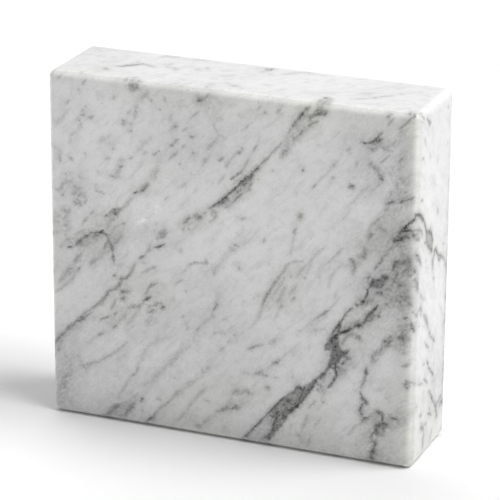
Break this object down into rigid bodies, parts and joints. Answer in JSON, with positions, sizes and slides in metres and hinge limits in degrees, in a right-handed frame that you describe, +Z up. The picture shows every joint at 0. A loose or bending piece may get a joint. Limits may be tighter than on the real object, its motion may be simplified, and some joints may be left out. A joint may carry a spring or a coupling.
{
  "type": "marble plinth block",
  "caption": "Solid block of grey-veined white marble with softly eased edges, standing on its narrow side as a display plinth.",
  "frame": {"origin": "middle of the underside, on the surface that the block stands on", "axes": "+X along the width, the broad front face looks along -Y, +Z up"},
  "size_m": [0.192, 0.05, 0.18],
  "materials": {
    "marble": "honed white marble with grey veins"
  },
  "bodies": {
    "root": {"marble_block": "marble"}
  },
  "joints": []
}
